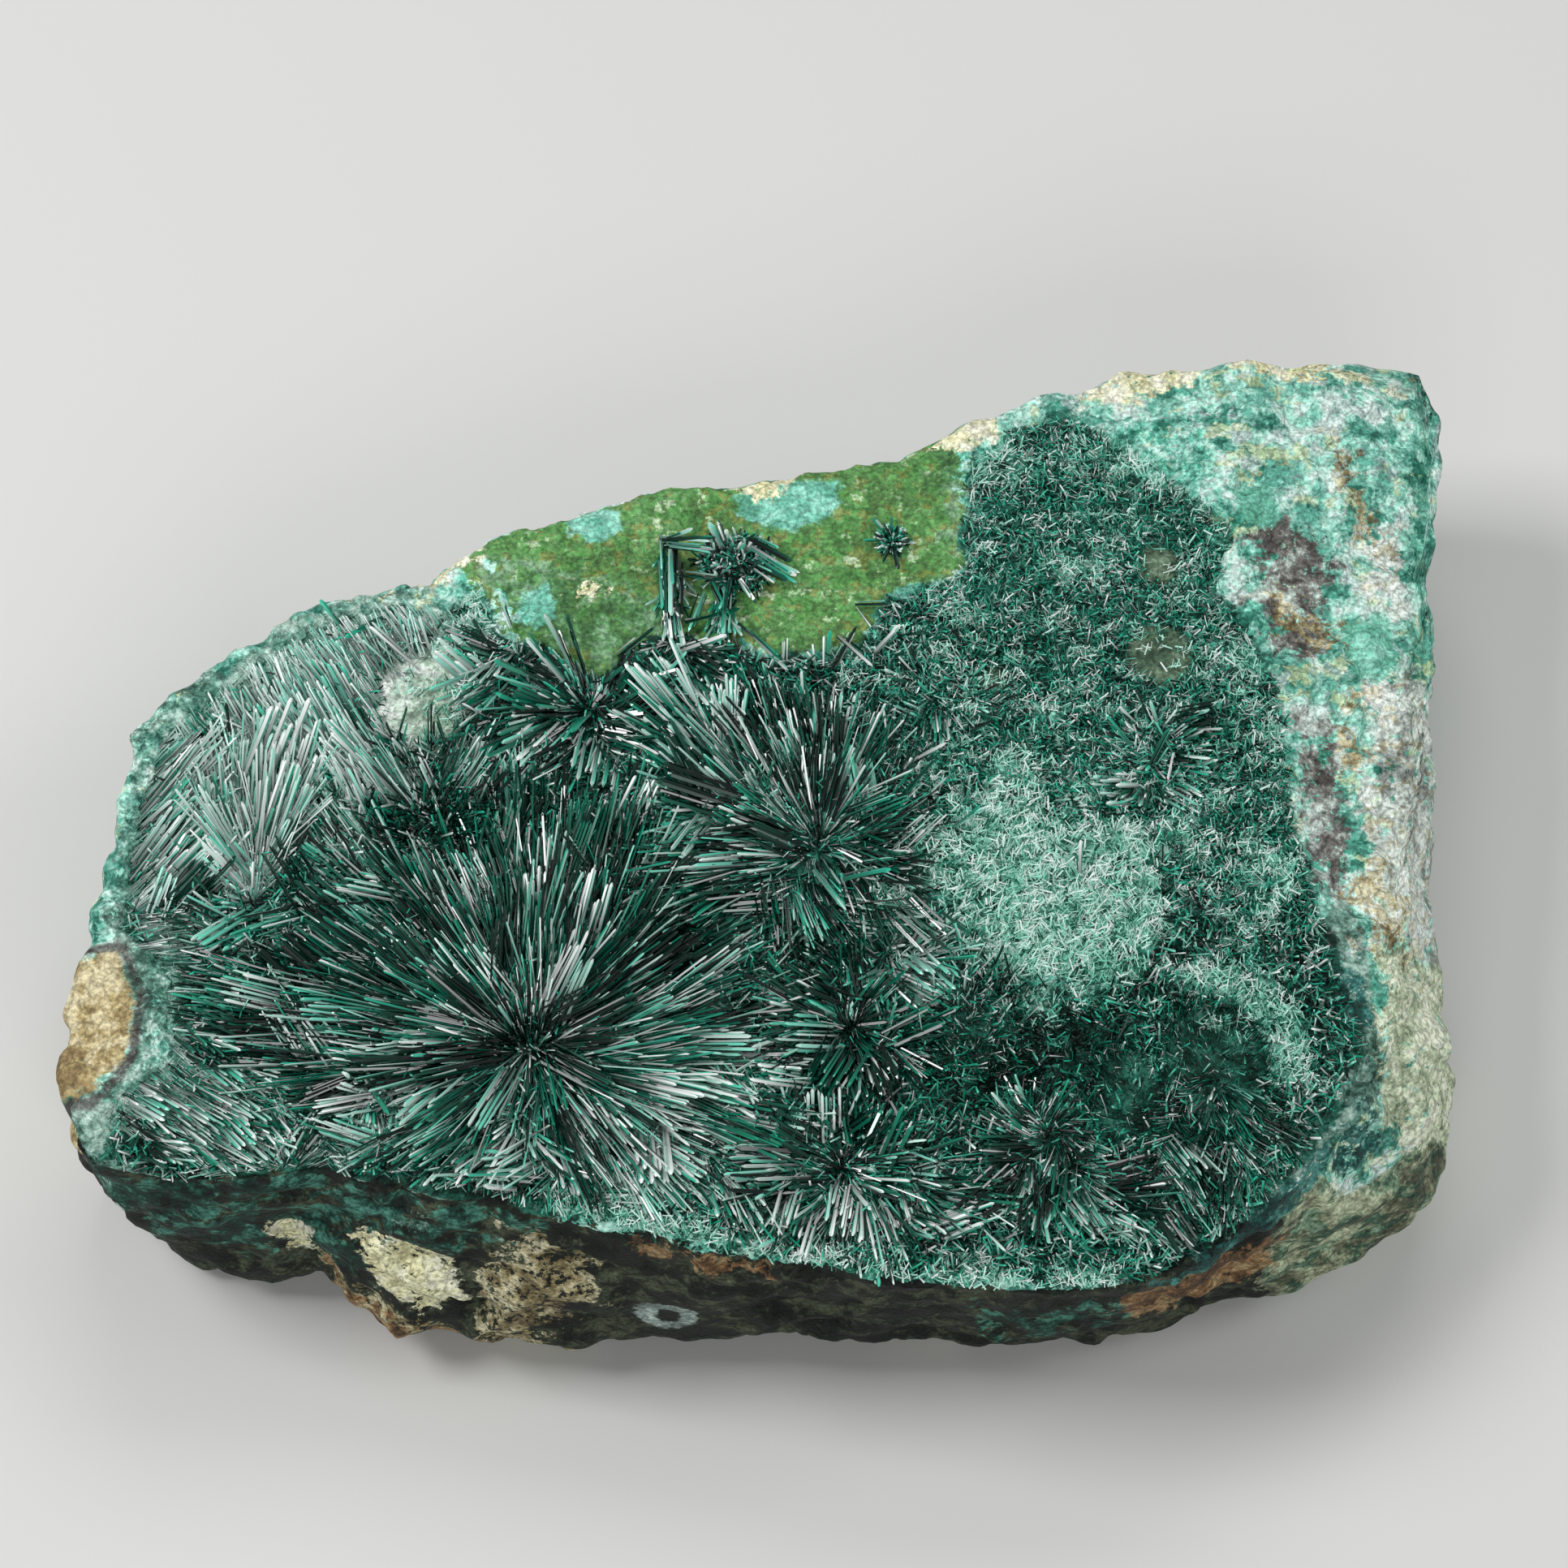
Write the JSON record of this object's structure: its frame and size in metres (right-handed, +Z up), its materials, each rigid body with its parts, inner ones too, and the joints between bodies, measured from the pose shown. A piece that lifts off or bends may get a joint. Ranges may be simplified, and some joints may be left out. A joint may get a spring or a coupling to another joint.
{
  "type": "atacamite mineral specimen",
  "caption": "Flat-lying slab of altered copper ore whose upper face is overgrown by a carpet of dark green radiating atacamite prisms, for display or as set dressing",
  "frame": {"origin": "middle of the slab's bounding box, on the surface that its flat back rests on", "axes": "+X along the slab to the end with the bare right border, +Y from the near edge with the largest spray to the far edge, +Z up out of the crystal face"},
  "size_m": [0.1278, 0.0966, 0.0331],
  "materials": {
    "altered_ore": "dull broken rock with green, teal, cream and rust-brown alteration",
    "atacamite": "glassy dark green crystal faces, nearly black in bulk"
  },
  "bodies": {
    "root": {"host_rock": "altered_ore", "crystal_carpet": "atacamite", "arch_cluster": "atacamite", "small_rosette": "atacamite"}
  },
  "joints": []
}
